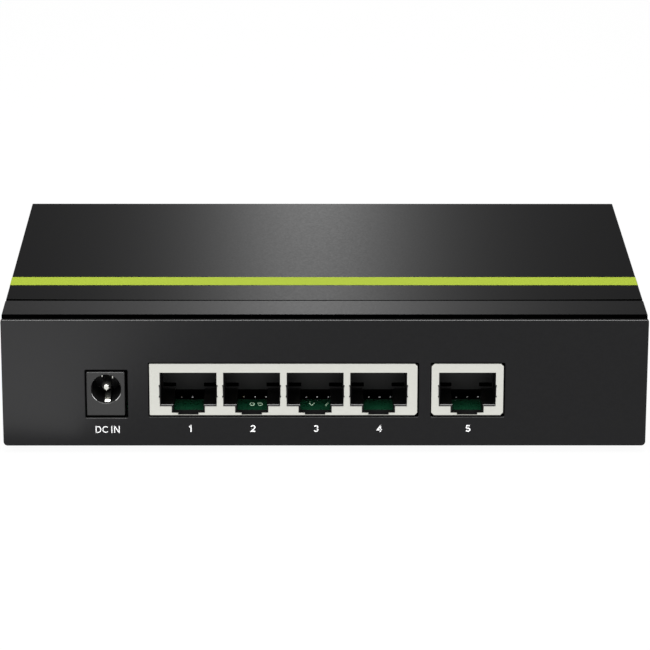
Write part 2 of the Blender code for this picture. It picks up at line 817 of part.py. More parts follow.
def case_screws():
    face = CASE_W / 2 - COVER_STEP
    for i, (side, (y, height)) in enumerate(screw_places(), 1):
        profile = [
            (CASE_SHANK_R, -CASE_SCREW_L),
            (CASE_SHANK_R, -SHEET_T),
            (COUNTERSINK_R, -0.1 * MM),
            (COUNTERSINK_R - 0.1 * MM, 0),
        ]
        if side < 0:
            profile = [(radius, -along) for radius, along in reversed(profile)]
        centre = (side * face, y, up(height))
        screw = turned(f"case_screw_{i}", profile, "X", centre, SCREW_BLACK)
        cross_slot(screw, centre, "X")


def main():
    rear_panel()
    rear_band()
    top_cover()
    base_pan()
    front_panel()
    feet()
    gang = port_centres()[:GANG_PORTS]
    shield("port_gang_shield", gang_sides(), gang)
    housing("port_gang_housing", gang_sides(), gang)
    shield("port_single_shield", single_sides(), [SINGLE_X])
    housing("port_single_housing", single_sides(), [SINGLE_X])
    contact_sets()
    dc_jack_body()
    dc_jack_pin()
    dc_jack_spring()
    main_board()
    transformers()
    heatsink()
    capacitors()
    small_parts()
    lamps()
    light_pipe()
    standoffs()
    board_screws()
    case_screws()


main()
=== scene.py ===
"""The looks of a five-port desktop network switch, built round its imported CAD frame.

Frame: +Z up, +X along the port row, -Y out of the port face, in metres. Every piece is built in
place, with its object at the origin, so a material's object coordinates are the frame's own.
"""

import math

import bmesh
import bpy
from mathutils import Matrix, Vector


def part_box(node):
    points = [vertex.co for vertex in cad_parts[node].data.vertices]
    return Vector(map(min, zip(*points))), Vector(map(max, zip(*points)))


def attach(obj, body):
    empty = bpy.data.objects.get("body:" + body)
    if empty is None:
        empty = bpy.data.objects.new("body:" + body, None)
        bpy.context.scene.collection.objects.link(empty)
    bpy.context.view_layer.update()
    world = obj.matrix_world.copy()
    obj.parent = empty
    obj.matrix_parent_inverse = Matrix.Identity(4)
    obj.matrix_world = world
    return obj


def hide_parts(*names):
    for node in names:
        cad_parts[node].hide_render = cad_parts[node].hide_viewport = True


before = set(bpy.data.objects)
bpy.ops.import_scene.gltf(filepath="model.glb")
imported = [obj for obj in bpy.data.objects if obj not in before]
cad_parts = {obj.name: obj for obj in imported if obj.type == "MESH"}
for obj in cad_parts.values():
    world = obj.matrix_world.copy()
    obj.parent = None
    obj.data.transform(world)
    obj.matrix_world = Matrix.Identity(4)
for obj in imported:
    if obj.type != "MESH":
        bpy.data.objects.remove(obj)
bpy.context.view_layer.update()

MM = 0.001
CASE = "case"
PAST = 1.0 * MM  # how far a cutter runs past the surface it opens

# What the frame says
PLATE_LOW, PLATE_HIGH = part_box("rear_panel")
BAND_LOW, BAND_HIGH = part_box("rear_band")
COVER_LOW, COVER_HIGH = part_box("top_cover")
PAN_LOW, PAN_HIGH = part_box("base_pan")
BEZEL_LOW, BEZEL_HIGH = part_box("front_panel")
FACE_Y = PLATE_LOW.y
BASE = PLATE_LOW.z
TOP = BAND_HIGH.z


def up(height):
    """Height in the frame of a point this many millimetres above the case's underside."""
    return BASE + height * MM


def deep(distance):
    """Y of a point this many millimetres in from the port face."""
    return FACE_Y + distance * MM


def middle(node):
    low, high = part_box(node)
    return (low + high) / 2


PORT_X = [middle(f"contact_set_{i}").x for i in range(1, 6)]
PORT_GROUPS = {"port_gang": PORT_X[:4], "port_single": PORT_X[4:]}
DC_X, _, DC_Z = middle("dc_jack_pin")

# Case shells
SHEET_T = 1.0 * MM
BAND_T = 1.2 * MM
BAND_BACK = 0.5 * MM  # how far the band's rear edge stands nearer
BEND_R = 0.25 * MM  # outer radius where a sheet is folded
PLATE_T = 1.2
PLATE_EDGE = 0.26 * MM
PLATE_TOP = TOP - 0.14 * MM
PLATE_FOOT = BASE - 0.08 * MM
PLATE_FOOT_R = 0.9 * MM
PLATE_HEAD_R = 0.55 * MM
SKIRT_INSET = 1.6 * MM
SKIRT_T = 0.8 * MM
SKIRT_FOOT = 1.3
SKIRT_DEEP = 0.8
CUTOUT_R = 0.3 * MM
COVER_SPLITS = 24  # points added along its top edges for the bow
LINER_T = 0.25 * MM
LINER_DEEP = (10.0, 15.8)
CUT_FLARE = 0.12 * MM  # lead-in round a punched hole
COVER_BOW = 0.85 * MM  # how much nearer the cover is to the band at its middle
COVER_BACK = 0.1 * MM  # how far the cover's near corners stand back
STRIPE_DEEP = (25.65, 31.8)
INK_T = 0.03 * MM

# Side vents and case screws
VENT_COUNT = 10
VENT_PITCH = 4.6 * MM
VENT_W = 1.8 * MM
VENT_H = 9.0 * MM
VENT_Z = 17.0
VENT_MIDDLE_Y = 8.5 * MM
VENT_FLARE = 0.2 * MM
SCREW_R = 2.6 * MM
SCREW_CLEAR = 0.3 * MM
SCREW_DOME = 0.12 * MM

# Base pan and its keyholes
PAN_WALL_DEEP = 16
PAN_FLANGE_TOP = 8.0
PAN_LIP_TOP = 4.6
PAN_EDGE = 0.2 * MM
PAN_CORNER = 0.4 * MM
PAN_LIP_INSET = 4 * MM
PAN_HOLE_R = 1.5 * MM
KEYHOLE_X, KEYHOLE_Y = 40 * MM, 4 * MM
KEYHOLE_R = 3.6 * MM
KEYHOLE_SLOT_R = 1.9 * MM
KEYHOLE_SLOT_L = 7.0 * MM

# Ports, in millimetres from a port's middle and above the case's underside
SHIELD_T = 0.3 * MM
SHIELD_EDGE = 0.06 * MM
SHIELD_TRIM = {  # how far its left and right edges are moved along X
    "port_gang": (0.0, -0.09 * MM),
    "port_single": (-0.07 * MM, -0.11 * MM),
}
SHIELD_LIFT = 0.04 * MM  # how far its lower edge stands above the node's
SHIELD_RISE = 0.14 * MM  # and its upper edge
SHIELD_CORNERS = {  # chamfers: lower left, lower right, upper right and upper left
    "port_gang": (0.15 * MM, 0.55 * MM, 0.55 * MM, 0.15 * MM),
    "port_single": (0.6 * MM, 0.6 * MM, 0.6 * MM, 0.6 * MM),
}
SHIELD_CLEAR = 0.2 * MM  # gaps round a shield in the port face
SHIELD_CLEAR_BELOW = 0.5 * MM
MOUTH_HALF = 6.25
MOUTH_WIDE = 6.35  # between the nicks
NICK_HALF = 6.47
NICK_HEIGHTS = (14.0, 11.5)
NICK_H = 0.35
MOUTH_SHIFT = {  # along X
    "port_gang": -0.05 * MM,
    "port_single": -0.1 * MM,
}
MOUTH_TOP = 17.05
LEDGE_Z = 9.27
LATCH_HALF = 3.64
LATCH_Z = 7.8
TONGUE_HALF = 2.22
TONGUE_Z = 7.35
HOUSING_FRONT = 0.1
HOUSING_CHAMFER = 0.15 * MM
CAVITY_HALF = 6.1
CAVITY_DEEP = 11.3
FLOOR_Z = 9.55
CHANNEL_HALF = 3.33
TUNNEL_Z = (6.98, 9.3)
HOUSING_BOTTOM = 6.93
TUNNEL_DEEP = 16.5
KEY_SLOT = (3.1, 6.0, 10.0, 10.9)  # from, to, bottom and top of a slot in the back wall
KEY_SLOT_DEEP = 14.0
ROOF_HALF = 4.3
ROOF_Z = 17.6
ROOF_FROM = 1.5
ROOF_SLOT_FOOT = 16
WIRE_COUNT = 8
WIRE_PITCH = 1.016 * MM
WIRE_W = 0.42 * MM
WIRE_T = 0.3 * MM
WIRE_ROOT = (2.2, 17.1)  # depth and height
WIRE_EDGE = 0.08 * MM
ROOT_BAR_R = 0.28 * MM
PIN_OFFSETS = (-1.95, 0.5, 2.95)
PIN_COUNTS = (2, 3, 3, 3, 3)
PIN_R = 0.2 * MM
PIN_DEEP = 12.4

# Power inlet
DC_SIDES = (DC_X - 4.32 * MM, DC_X + 4.12 * MM)
DC_FRONT = 0.25
DC_BACK = 14.0
DC_TOP = 17.05
DC_FLANGE = (6.9, 3.8)  # bottom and depth of the part in front of the board
DC_EDGE = 0.22 * MM
DC_BORE_R = 3.3 * MM
DC_BORE_DEEP = 9.7
DC_CUTOUT = (-52.75 * MM, -43.35 * MM, 6.45, 17.6)
DC_LEAF_ROOT = (12.5, 9.1)  # depth and height
DC_LEAF_X = DC_X + 0.2 * MM
DC_LEAF_HALF = 0.64 * MM
DC_LEAF_T = 0.28 * MM
DC_SLOT_HALF = 0.9 * MM
DC_SLOT_Z = (8.1, 10.4)
DC_SLOT_FROM = 1.3
DC_PIN_TIP = 1.3
DC_PIN_HOLE_R = 1.3 * MM
DC_RIM = 0.12 * MM
DC_RIM_LIT = (0.24, 0.57)  # how far up a rim's face points where it catches the light
DC_BLOCK = (1.0, 7.2, 0.15 * MM)  # depth, bottom and edge of the part over the board
PRONG_PLACES = ((-0.85, 15.75), (1.46, 15.4))  # millimetres from the pin, and height of the tip
PRONG_DEEP = 0.8
PRONG_R = 0.16 * MM

# Board
PAD_DEEP = 8.1
PAD_OFFSETS = (-0.05, 1.7)
PAD_RADII = (0.58 * MM, 0.34 * MM)
PAD_STRETCH = 2.1
BAR_DEEP = 8.0
BARS = ((-1.05, -1), (-0.5, 1), (2.6, 1))  # millimetres from the port's middle, and slant
BAR_HALF = 0.27 * MM
BAR_W = 0.26 * MM

# Printed marks on the port face
MARK_H = 1.6 * MM
INLET_MARK = (-47.9 * MM, 2.98)  # x and height
PORT_MARK_X = (-29.6, -15.82, -1.87, 12.08, 31.65)
PORT_MARK_Z = 3.2

# Lamp face
LED_X = [middle(f"led_{i}").x for i in range(1, 7)]
LABEL_SIDE = 8.0 * MM
LABEL_LOW, LABEL_HIGH = 5.7, 17.7
LABEL_DEEP = 0.4 * MM
LAMP_MARK_Z = 13.0
LAMP_MARK_H = 1.7 * MM
WINDOW_HALF = 1.1 * MM
WINDOW_Z = (8.9, 10.7)


# Mesh helpers


def as_object(name, bm):
    bmesh.ops.recalc_face_normals(bm, faces=bm.faces)
    mesh = bpy.data.meshes.new(name)
    bm.to_mesh(mesh)
    bm.free()
    obj = bpy.data.objects.new(name, mesh)
    bpy.context.scene.collection.objects.link(obj)
    return obj


def smooth(obj, angle=35):
    """Rounds the shading of fine bevels and keeps flat faces flat."""
    obj.data.shade_smooth()
    obj.data.set_sharp_from_angle(angle=math.radians(angle))
    obj.modifiers.new("flat_faces", "WEIGHTED_NORMAL").keep_sharp = True
    return obj


def inset(loop, distance):
    """Moves a loop to its own left: into a counter-clockwise outline or out of a clockwise hole."""
    moved = []
    for before, here, after in zip(loop[-1:] + loop[:-1], loop, loop[1:] + loop[:1]):
        one, two = (here - before).normalized(), (after - here).normalized()
        side = Vector((-one.y - two.y, one.x + two.x))
        moved.append(here + side * (2 * distance / side.length_squared))
    return moved


def turning(loop):
    """Positive for a counter-clockwise loop."""
    return sum(a.cross(b) for a, b in zip(loop, loop[1:] + loop[:1]))


PLACES = {
    "X": lambda a, b, c: (c, a, b),
    "Y": lambda a, b, c: (a, c, b),
    "Z": lambda a, b, c: (a, b, c),
}


def loft(bm, outline, steps, axis, holes=()):
    """A plate of this outline and these holes. Each step is (inset, place along the axis)."""
    loops = []
    for i, points in enumerate([outline, *holes]):
        loop = [Vector(point) for point in points]
        if (turning(loop) > 0) != (i == 0):
            loop.reverse()
        loops.append(loop)
    place = PLACES[axis]
    ends = {0: [], len(steps) - 1: []}
    for loop in loops:
        rings = [
            [bm.verts.new(place(point.x, point.y, along)) for point in inset(loop, step)]
            for step, along in steps
        ]
        for one, two in zip(rings, rings[1:]):
            for i in range(len(loop)):
                j = (i + 1) % len(loop)
                bm.faces.new((one[i], one[j], two[j], two[i]))
        for end in ends:
            ring = rings[end]
            ends[end] += [bm.edges.get((a, b)) for a, b in zip(ring, ring[1:] + ring[:1])]
    for edges in ends.values():
        bmesh.ops.triangle_fill(bm, edges=edges, use_beauty=True)


def rounded(low, high, edge, segments=4, far_edge=None):
    """Loft steps of a plate from low to high whose two rims are rounded to these radii."""
    far_edge = edge if far_edge is None else far_edge
    steps = []
    for i in range(segments + 1):
        angle = math.pi / 2 * i / segments
        steps.append((edge * (1 - math.sin(angle)), low + edge * (1 - math.cos(angle))))
    for i in range(segments + 1):
        angle = math.pi / 2 * i / segments
        steps.append((far_edge * (1 - math.cos(angle)), high - far_edge * (1 - math.sin(angle))))
    return steps


def plate(name, outline, steps, axis, holes=()):
    bm = bmesh.new()
    loft(bm, outline, steps, axis, holes)
    return as_object(name, bm)


def rectangle(low_a, high_a, low_b, high_b, radius=0.0, segments=4):
    return cornered(low_a, high_a, low_b, high_b, [radius] * 4, segments)


def cornered(low_a, high_a, low_b, high_b, radii, segments=4):
    """A rectangle with a radius at each corner: low-low, high-low, high-high and low-high."""
    corners = (
        (low_a, low_b, 1, 1, 180),
        (high_a, low_b, -1, 1, 270),
        (high_a, high_b, -1, -1, 0),
        (low_a, high_b, 1, -1, 90),
    )
    points = []
    for (a, b, side_a, side_b, start), radius in zip(corners, radii):
        if radius == 0:
            points.append((a, b))
            continue
        for i in range(segments + 1):
            angle = math.radians(start + 90 * i / segments)
            points.append(
                (
                    a + radius * (side_a + math.cos(angle)),
                    b + radius * (side_b + math.sin(angle)),
                )
            )
    return points


def box(name, low, high, edge=0.0, segments=2):
    """A block with rounded edges all round."""
    outline = rectangle(low[0], high[0], low[1], high[1], 1.2 * edge, segments)
    steps = rounded(low[2], high[2], edge, segments) if edge else [(0, low[2]), (0, high[2])]
    return plate(name, outline, steps, "Z")


def strip(path, width):
    """The outline of a ribbon of this width along a path."""
    points = [Vector(point) for point in path]
    left, right = [], []
    for i, here in enumerate(points):
        one = here - points[i - 1] if i else points[1] - here
        two = points[i + 1] - here if i < len(points) - 1 else one
        one, two = one.normalized(), two.normalized()
        side = Vector((-one.y - two.y, one.x + two.x))
        side *= width / side.length_squared
        left.append(here + side)
        right.append(here - side)
    return left + right[::-1]


def arc(centre, radius, start, end, count=10, stretch=1.0):
    """Points on an arc, its angles in degrees. stretch widens it along its first axis."""
    points = []
    for i in range(count + 1):
        angle = math.radians(start + (end - start) * i / count)
        across = radius * stretch * math.cos(angle)
        points.append((centre[0] + across, centre[1] + radius * math.sin(angle)))
    return points


def turned(name, profile, axis, centre, count=64):
    """A turned piece of (radius, distance along the axis) points. Its ends close on the axis."""
    bm = bmesh.new()
    spin(bm, profile, axis, centre, count)
    return as_object(name, bm)


def spin(bm, profile, axis, centre, count):
    place = PLACES[axis]
    rings = []
    for radius, along in profile:
        ring = []
        for a, b in arc((0, 0), radius, 0, 360 * (count - 1) / count, count - 1):
            ring.append(bm.verts.new(Vector(place(a, b, along)) + Vector(centre)))
        rings.append(ring)
    for one, two in zip(rings, rings[1:]):
        for i in range(count):
            j = (i + 1) % count
            bm.faces.new((one[i], one[j], two[j], two[i]))
    bm.faces.new(rings[0])
    bm.faces.new(rings[-1])


def combine(target, tools, operation):
    """Applies a Boolean for each tool and then removes the tools."""
    for tool in tools:
        boolean = target.modifiers.new("combine", "BOOLEAN")
        boolean.operation = operation
        boolean.solver = "EXACT"
        boolean.object = tool
    graph = bpy.context.evaluated_depsgraph_get()
    mesh = bpy.data.meshes.new_from_object(target.evaluated_get(graph))
    target.modifiers.clear()
    target.data = mesh
    for tool in tools:
        bpy.data.objects.remove(tool, do_unlink=True)
    return target


def cut(target, *tools):
    return combine(target, tools, "DIFFERENCE")


def join(target, *tools):
    return combine(target, tools, "UNION")


def punch(outline, face, through, axis, flare=CUT_FLARE):
    """A cutter for a hole from a face, wider by its flare where it starts."""
    way = 1 if through > face else -1
    steps = [
        (-flare, face - way * PAST),
        (-flare, face),
        (0, face + way * flare),
        (0, through),
    ]
    return plate("punch", outline, steps, axis)


def show(obj, material, body=CASE, replaces=()):
    """Gives a finished piece its material and the body that it rides on."""
    obj.data.materials.clear()
    obj.data.materials.append(material)
    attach(obj, body)
    if replaces:
        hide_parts(*replaces)
    return obj


def repaint(obj, material, chosen):
    """Gives the chosen faces another material."""
    obj.data.materials.append(material)
    index = len(obj.data.materials) - 1
    for face in obj.data.polygons:
        if chosen(face):
            face.material_index = index


def slopes(face):
    """Whether a face leans back from the port face, as a chamfer on an upper edge does."""
    return face.normal.y < -0.2 and face.normal.z > 0.2


# Materials


def surface(name, colours, roughness, grain, relief=0.0, stretch=(1, 1, 1), **sockets):
    """A Principled material whose colour, gloss and relief follow noise with features of this size.

    colours and roughness are pairs, the two ends of their range; relief is a height, and stretch
    draws the noise out along an axis.
    """
    material = bpy.data.materials.new(name)
    material.use_nodes = True
    nodes, links = material.node_tree.nodes, material.node_tree.links
    shader = nodes["Principled BSDF"]
    for socket, value in sockets.items():
        shader.inputs[socket.replace("_", " ")].default_value = value
    coordinates = nodes.new("ShaderNodeTexCoord")
    mapping = nodes.new("ShaderNodeMapping")
    mapping.inputs["Scale"].default_value = [1 / side for side in stretch]
    links.new(coordinates.outputs["Object"], mapping.inputs["Vector"])
    noise = nodes.new("ShaderNodeTexNoise")
    noise.inputs["Scale"].default_value = 1 / grain
    noise.inputs["Detail"].default_value = 4.0
    links.new(mapping.outputs["Vector"], noise.inputs["Vector"])
    ramp = nodes.new("ShaderNodeValToRGB")
    ramp.color_ramp.elements[0].position = 0.3
    ramp.color_ramp.elements[1].position = 0.7
    for element, colour in zip(ramp.color_ramp.elements, colours):
        element.color = (*colour, 1)
    links.new(noise.outputs["Fac"], ramp.inputs["Fac"])
    links.new(ramp.outputs["Color"], shader.inputs["Base Color"])
    gloss = nodes.new("ShaderNodeMapRange")
    gloss.inputs["From Min"].default_value = 0.3
    gloss.inputs["From Max"].default_value = 0.7
    gloss.inputs["To Min"].default_value, gloss.inputs["To Max"].default_value = roughness
    links.new(noise.outputs["Fac"], gloss.inputs["Value"])
    links.new(gloss.outputs["Result"], shader.inputs["Roughness"])
    if relief:
        bump = nodes.new("ShaderNodeBump")
        bump.inputs["Distance"].default_value = relief
        links.new(noise.outputs["Fac"], bump.inputs["Height"])
        links.new(bump.outputs["Normal"], shader.inputs["Normal"])
    return material


def grey(level):
    return (level, level, level)


PAINT = surface(
    "black_powder_coat",
    ((0.002, 0.002, 0.0023), (0.0032, 0.0032, 0.0036)),
    (0.31, 0.35),
    0.5 * MM,
    relief=0.004 * MM,
    Specular_IOR_Level=0.2,
)
# A lighter, glossier coat: a painted highlight along the port face's upper front edge.
EDGE_HIGHLIGHT_PAINT = surface(
    "painted_edge_highlight",
    (grey(0.01), grey(0.014)),
    (0.32, 0.36),
    0.4 * MM,
    Specular_IOR_Level=0.5,
)
# A lighter coat: a painted highlight on the lower flares round the openings in the port face.
RIM_HIGHLIGHT_PAINT = surface(
    "painted_rim_highlight",
    (grey(0.006), grey(0.009)),
    (0.32, 0.36),
    0.4 * MM,
    Specular_IOR_Level=0.3,
)
BAND_PAINT = surface(
    "black_gloss_coat",
    ((0.002, 0.002, 0.0023), (0.0032, 0.0032, 0.0036)),
    (0.33, 0.37),
    0.5 * MM,
    relief=0.003 * MM,
    Specular_IOR_Level=0.38,
)
STRIPE_INK = surface(
    "green_ink",
    ((0.57, 0.73, 0.065), (0.6, 0.77, 0.077)),
    (0.58, 0.65),
    0.4 * MM,
    relief=0.002 * MM,
    Specular_IOR_Level=0.1,
)
WHITE_INK = surface("white_ink", (grey(0.86), grey(0.92)), (0.5, 0.6), 0.2 * MM)
PALE_INK = surface("pale_ink", (grey(0.56), grey(0.6)), (0.5, 0.6), 0.2 * MM)
NICKEL = surface(
    "nickel_plate",
    ((0.71, 0.71, 0.655), (0.755, 0.755, 0.7)),
    (0.28, 0.36),
    0.6 * MM,
    relief=0.002 * MM,
    stretch=(3, 1, 1),
    Metallic=1.0,
)
JACK_PLASTIC = surface(
    "black_nylon",
    (grey(0.003), grey(0.0045)),
    (0.35, 0.45),
    0.3 * MM,
    relief=0.003 * MM,
    Specular_IOR_Level=0.3,
)
# A grey, glossy finish: a painted highlight on chamfers that face the light.
LIP_HIGHLIGHT_PAINT = surface(
    "painted_lip_highlight",
    (grey(0.11), grey(0.15)),
    (0.3, 0.4),
    0.3 * MM,
    Specular_IOR_Level=1.0,
)
# A near-black, near-matt finish: painted shade for gaps, grooves, cut walls and recesses where
# shade falls.
SHADOW_BLACK = surface(
    "painted_shadow_black",
    (grey(0.0008), grey(0.0012)),
    (0.8, 0.9),
    0.3 * MM,
    Specular_IOR_Level=0.03,
)
INLET_PLASTIC = surface(
    "black_inlet_moulding", (grey(0.0078), grey(0.0105)), (0.4, 0.48), 0.3 * MM, relief=0.003 * MM
)
GOLD = surface(
    "gold_plate", ((0.8, 0.58, 0.22), (0.88, 0.67, 0.3)), (0.18, 0.28), 0.5 * MM, Metallic=1.0
)
TIN = surface(
    "tin_solder", (grey(0.8), grey(0.88)), (0.35, 0.45), 0.3 * MM, relief=0.01 * MM, Metallic=0.2
)
BOARD = surface(
    "green_solder_mask",
    ((0.0017, 0.0222, 0.0094), (0.0028, 0.032, 0.014)),
    (0.25, 0.35),
    0.6 * MM,
    relief=0.004 * MM,
)
# Near-black: painted shade on the board's cut edges.
BOARD_EDGE_SHADE = surface(
    "painted_shade_board_edge", (grey(0.003), grey(0.006)), (0.6, 0.7), 0.3 * MM, Specular_IOR_Level=0.1
)
SILK_INK = surface(
    "board_legend_ink", ((0.32, 0.48, 0.34), (0.4, 0.56, 0.42)), (0.5, 0.6), 0.2 * MM
)
BEZEL_PLASTIC = surface(
    "textured_black_plastic", (grey(0.01), grey(0.016)), (0.45, 0.6), 0.25 * MM, relief=0.02 * MM
)
SMOKED = surface("smoked_polycarbonate", (grey(0.004), grey(0.006)), (0.05, 0.1), 4 * MM)
LENS = surface(
    "clear_acrylic",
    ((0.5, 0.62, 0.5), (0.56, 0.68, 0.56)),
    (0.08, 0.15),
    1 * MM,
    Transmission_Weight=0.6,
)
RUBBER = surface(
    "black_rubber", (grey(0.018), grey(0.028)), (0.8, 0.95), 0.4 * MM, relief=0.02 * MM
)
BLACK_OXIDE = surface(
    "black_oxide_steel", (grey(0.03), grey(0.045)), (0.3, 0.42), 0.3 * MM, Metallic=1.0
)
ZINC = surface(
    "zinc_plate",
    ((0.5, 0.52, 0.56), (0.62, 0.62, 0.6)),
    (0.3, 0.45),
    1.5 * MM,
    Metallic=1.0,
)
EPOXY = surface("moulded_epoxy", (grey(0.016), grey(0.024)), (0.5, 0.7), 0.2 * MM, relief=0.01 * MM)
ALUMINIUM = surface(
    "extruded_aluminium",
    (grey(0.58), grey(0.66)),
    (0.35, 0.5),
    0.3 * MM,
    relief=0.006 * MM,
    stretch=(1, 30, 1),
    Metallic=1.0,
)
CAN = surface("drawn_can", (grey(0.66), grey(0.74)), (0.25, 0.35), 0.5 * MM, Metallic=1.0)
LED_BODY = surface("white_lamp_body", (grey(0.7), grey(0.78)), (0.35, 0.45), 0.4 * MM)
FLOOR = surface(
    "studio_floor",
    (grey(0.06), grey(0.065)),
    (0.7, 0.8),
    80 * MM,
    Emission_Color=(1, 1, 1, 1),
    Emission_Strength=0.95,
)


# Case shells


def arch_outline(half, low, top, thickness, bend=BEND_R, splits=0):
    """An upside-down U of sheet in X and Z, with its folds rounded outside and inside."""
    outer = cornered(-half, half, low, top, (0, 0, bend, bend), 6)
    inner_bend = max(bend - thickness, 0.2 * MM)
    radii = (0, 0, inner_bend, inner_bend)
    inner = cornered(-half + thickness, half - thickness, low, top - thickness, radii, 6)
    if splits:
        outer = split_top(outer, splits)
        inner = split_top(inner, splits)
    # Both rectangles start at their lower left corner and run counter-clockwise. Going up the
    # outer one and back along the inner one leaves the bottom open.
    outer_run = outer[1:] + outer[:1]
    inner_run = inner[1:] + inner[:1]
    return outer_run + inner_run[::-1]


def split_top(points, count):
    """Adds evenly spaced points to the long top edge of an arch's outline."""
    at = max(range(1, len(points)), key=lambda i: points[i - 1][0] - points[i][0])
    (right, top), (left, _) = points[at - 1], points[at]
    added = [(right + (left - right) * i / count, top) for i in range(1, count)]
    return points[:at] + added + points[at:]


def port_face():
    half = PLATE_HIGH.x
    radii = (PLATE_FOOT_R, PLATE_FOOT_R, PLATE_HEAD_R, PLATE_HEAD_R)
    outline = cornered(-half, half, PLATE_FOOT, PLATE_TOP, radii, 6)
    face = plate("port_face", outline, rounded(FACE_Y, deep(PLATE_T), PLATE_EDGE), "Y")
    skirt_outline = arch_outline(half - SKIRT_INSET, up(SKIRT_FOOT), TOP - SKIRT_INSET, SKIRT_T)
    join(face, plate("skirt", skirt_outline, [(0, deep(SKIRT_DEEP)), (0, PLATE_HIGH.y)], "Y"))
    cutouts = []
    for name in PORT_GROUPS:
        low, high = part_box(name + "_shield")
        clear = SHIELD_CLEAR
        floor = low.z - SHIELD_CLEAR_BELOW
        cutouts.append((low.x - clear, high.x + clear, floor, high.z + clear))
    left, right, low, high = DC_CUTOUT
    cutouts.append((left, right, up(low), up(high)))
    through = deep(PLATE_T) + PAST
    cut(face, *[punch(rectangle(*sides, CUTOUT_R), FACE_Y, through, "Y") for sides in cutouts])
    show(smooth(face), PAINT, replaces=["rear_panel"])
    crest = PLATE_TOP - MM
    # The chamfer along the upper edge gets a painted highlight.
    repaint(face, EDGE_HIGHLIGHT_PAINT, lambda part: part.center.z > crest and slopes(part))
    # The lower flares round the openings get a painted highlight.
    repaint(face, RIM_HIGHLIGHT_PAINT, lambda part: part.center.z < up(8) and slopes(part))
    # The walls of the openings get painted shade.
    repaint(face, SHADOW_BLACK, in_cutout)
    # The port face's flat top gets painted shade, so only its front edge shows a line.
    repaint(face, SHADOW_BLACK, lambda part: part.center.z > crest and part.normal.z > 0.95)


def in_cutout(part):
    """Whether a face of the port face is the wall of an opening in it, where shade is painted."""
    inside = abs(part.center.x) < PLATE_HIGH.x - 3 * MM and up(2) < part.center.z < up(26)
    return inside and abs(part.normal.y) < 0.1


def band():
    outline = arch_outline(BAND_HIGH.x, BASE, TOP, BAND_T)
    steps = rounded(BAND_LOW.y, BAND_HIGH.y - BAND_BACK, 0.04 * MM, 2, 0.1 * MM)
    obj = plate("band", outline, steps, "Y")
    show(smooth(obj), BAND_PAINT, replaces=["rear_band"])
    # The band's faces towards the port face, inside the groove, get painted shade.
    repaint(obj, SHADOW_BLACK, lambda part: part.normal.y < -0.9)


def screw_places():
    """(side, y, z) of each case screw."""
    for i in range(1, 5):
        place = middle(f"case_screw_{i}")
        yield (1 if place.x > 0 else -1), place.y, place.z


def cover():
    half = COVER_HIGH.x
    outline = arch_outline(half, BASE, COVER_HIGH.z, SHEET_T, splits=COVER_SPLITS)
    near = COVER_LOW.y + COVER_BACK
    obj = plate("cover", outline, rounded(near, COVER_HIGH.y, 0.05 * MM, far_edge=0.12 * MM), "Y")
    for vertex in obj.data.vertices:
        if vertex.co.y < near + SHEET_T:
            vertex.co.y -= COVER_BOW * (1 - (vertex.co.x / half) ** 2)
    cut(obj, *side_openings())
    show(smooth(obj), PAINT, replaces=["top_cover"])
    # The cover's near edge face, in the seam, gets painted shade.
    repaint(obj, SHADOW_BLACK, lambda part: part.normal.y < -0.9)


def side_openings():
    """Cutters for the vents and countersinks in both sides of the cover."""
    half = COVER_HIGH.x
    cutters = []
    for side in (-1, 1):
        for i in range(VENT_COUNT):
            y = VENT_MIDDLE_Y + VENT_PITCH * (i - (VENT_COUNT - 1) / 2)
            slot = rectangle(
                y - VENT_W / 2,
                y + VENT_W / 2,
                up(VENT_Z) - VENT_H / 2,
                up(VENT_Z) + VENT_H / 2,
                VENT_W / 2 - 0.01 * MM,
                6,
            )
            through = side * (half - 2 * SHEET_T)
            cutters.append(punch(slot, side * half, through, "X", VENT_FLARE))
    for side, y, z in screw_places():
        wide = SCREW_R + SCREW_CLEAR
        profile = [
            (wide - SHEET_T, side * (half - 2 * SHEET_T)),
            (wide - SHEET_T, side * (half - SHEET_T)),
            (wide, side * half),
            (wide, side * (half + PAST)),
        ]
        cutters.append(turned("countersink", profile, "X", (0, y, z)))
    return cutters


def painted_shade_liner():
    """A thin inner sheet in painted shadow black that bridges the gap between the band and the
    cover, so the seam shows painted shade.
    """
    outline = arch_outline(BAND_HIGH.x - BAND_T, up(1.2), TOP - BAND_T, LINER_T)
    obj = plate("painted_shade_liner", outline, [(0, deep(LINER_DEEP[0])), (0, deep(LINER_DEEP[1]))], "Y")
    show(obj, SHADOW_BLACK)


def stripe():
    outline = arch_outline(
        COVER_HIGH.x + INK_T, BASE + 0.5 * MM, COVER_HIGH.z + INK_T, 3 * INK_T, BEND_R + INK_T
    )
    low, high = (deep(place) for place in STRIPE_DEEP)
    obj = plate("cover_stripe", outline, [(0, low), (0, high)], "Y")
    cut(obj, *side_openings())
    show(smooth(obj), STRIPE_INK)


def keyhole(x, y):
    """A round hole with a narrow slot towards the port face."""
    lean = math.degrees(math.asin(KEYHOLE_SLOT_R / KEYHOLE_R))
    wide = arc((x, y), KEYHOLE_R, -90 + lean, 270 - lean, 24)
    return wide + arc((x, y - KEYHOLE_SLOT_L), KEYHOLE_SLOT_R, 180, 360, 12)


